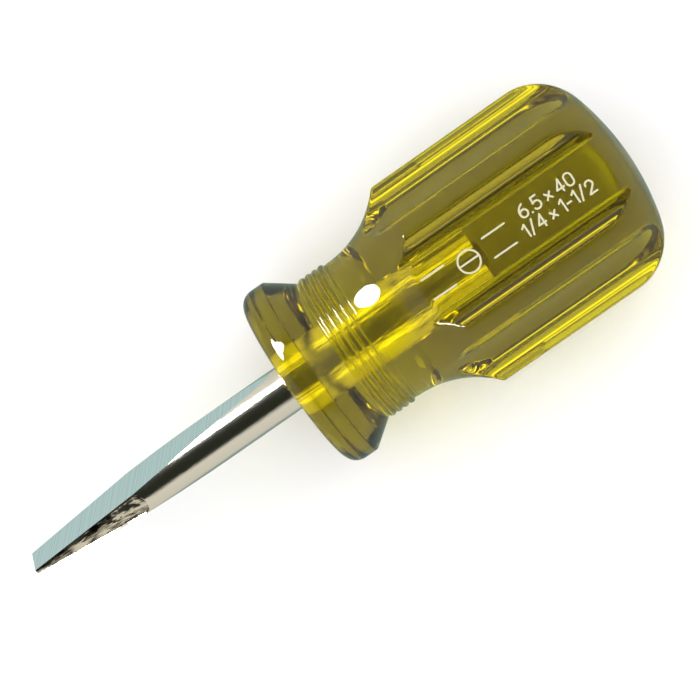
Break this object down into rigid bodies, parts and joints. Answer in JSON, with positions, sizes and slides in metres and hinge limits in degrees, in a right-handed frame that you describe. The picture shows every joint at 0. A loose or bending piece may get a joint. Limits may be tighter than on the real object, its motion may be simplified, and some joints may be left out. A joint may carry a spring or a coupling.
{
  "type": "stubby slotted screwdriver",
  "caption": "Stubby screwdriver: a ground steel blade with a slotted tip in a short fluted transparent plastic handle.",
  "frame": {"origin": "centre of the flat end face of the blade's tip, on the tool's axis", "axes": "+X along the tool's axis from the tip to the butt, +Z out of the handle's marked panel, +Y across the tool"},
  "size_m": [0.0918, 0.0296, 0.0268],
  "materials": {
    "amber_plastic": "polished transparent amber cellulose acetate",
    "plated_steel": "bright nickel-plated bar with ground faces at the tip",
    "marking_foil": "cream hot-stamped foil"
  },
  "bodies": {
    "root": {"handle": "amber_plastic", "blade": "plated_steel", "stamped_marking": "marking_foil"}
  },
  "joints": []
}
